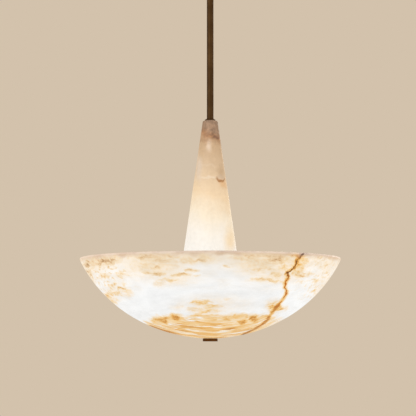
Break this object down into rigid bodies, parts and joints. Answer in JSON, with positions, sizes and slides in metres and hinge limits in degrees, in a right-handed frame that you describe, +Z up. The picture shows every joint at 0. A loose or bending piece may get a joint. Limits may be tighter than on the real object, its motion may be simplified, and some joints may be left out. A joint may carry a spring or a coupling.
{
  "type": "alabaster pendant light",
  "caption": "Ceiling pendant: a lit shallow alabaster bowl under a slim alabaster cone on a dark bronze rod, hung from a round canopy by a swivel that turns and tilts.",
  "frame": {"origin": "on the ceiling plane, at the rod's axis, midway between the bracket's slots", "axes": "+Z up into the ceiling along the rod, +X along the bracket, -Y towards the viewer"},
  "size_m": [0.4997, 0.4998, 0.7694],
  "materials": {
    "alabaster_bowl": "honed translucent stone with honey veins",
    "alabaster_cone": "honed translucent stone with honey veins",
    "antique_bronze": "dark antique bronze patina",
    "zinc_steel": "zinc plated",
    "satin_brass": "satin brass",
    "silicone": "milky silicone",
    "terminal_plastic": "moulded, off-white",
    "wire_insulation": "insulated wire",
    "cable_sheath": "white cable sheath",
    "led_board": "white coated board",
    "holder_black": "black thermoset",
    "holder_ceramic": "plain white ceramic",
    "bulb_nickel": "nickel plated",
    "bulb_white": "white moulding",
    "bulb_opal": "opal, lit"
  },
  "bodies": {
    "ceiling_mount": {"ceiling_bracket": "zinc_steel", "canopy": "antique_bronze", "canopy_screws": "antique_bronze", "terminal_block": "terminal_plastic", "terminal_screws": "zinc_steel", "terminal_wires": "wire_insulation", "swivel_washer": "satin_brass"},
    "swivel": {"swivel_yoke": "zinc_steel", "swivel_nut": "zinc_steel"},
    "pendant": {"swivel_ball": "antique_bronze", "hanging_rod": "antique_bronze", "cone_cap": "antique_bronze", "swivel_trunnions": "zinc_steel", "carrier_locknut": "zinc_steel", "bowl_stem": "zinc_steel", "stem_nut": "zinc_steel", "bowl_nut": "zinc_steel", "bowl_washer": "zinc_steel", "hub_cap_screws": "zinc_steel", "cone_carrier": "satin_brass", "lamp_hub": "satin_brass", "hub_cap": "satin_brass", "lamp_nipples": "satin_brass", "thread_shells": "satin_brass", "centre_contacts": "satin_brass", "cone_cap_gasket": "silicone", "cone_gasket": "silicone", "bowl_gasket": "silicone", "finial_gasket": "silicone", "alabaster_bowl": "alabaster_bowl", "alabaster_cone": "alabaster_cone", "lamp_leads": "wire_insulation", "supply_cable": "cable_sheath", "led_boards": "led_board", "lamp_holder_1": "holder_black", "holder_insert_1": "holder_ceramic", "bulb_cap_1": "bulb_nickel", "bulb_neck_1": "bulb_white", "bulb_globe_1": "bulb_opal", "lamp_holder_2": "holder_black", "holder_insert_2": "holder_ceramic", "bulb_cap_2": "bulb_nickel", "bulb_neck_2": "bulb_white", "bulb_globe_2": "bulb_opal", "lamp_holder_3": "holder_black", "holder_insert_3": "holder_ceramic", "bulb_cap_3": "bulb_nickel", "bulb_neck_3": "bulb_white", "bulb_globe_3": "bulb_opal"},
    "bowl_finial": {"finial": "antique_bronze"}
  },
  "joints": [
    {"name": "swivel_turn", "type": "hinge", "parent": "ceiling_mount", "child": "swivel", "pos_m": [0, 0, -0.0115], "axis": [0, 0, 1], "range_deg": [-170, 170]},
    {"name": "swivel_tilt", "type": "hinge", "parent": "swivel", "child": "pendant", "pos_m": [0, 0, -0.031], "axis": [1, 0, 0], "range_deg": [-20, 20]},
    {"name": "finial_turn", "type": "hinge", "parent": "pendant", "child": "bowl_finial", "pos_m": [0, 0, -0.769], "axis": [0, 0, 1], "range_deg": [0, 360]}
  ]
}
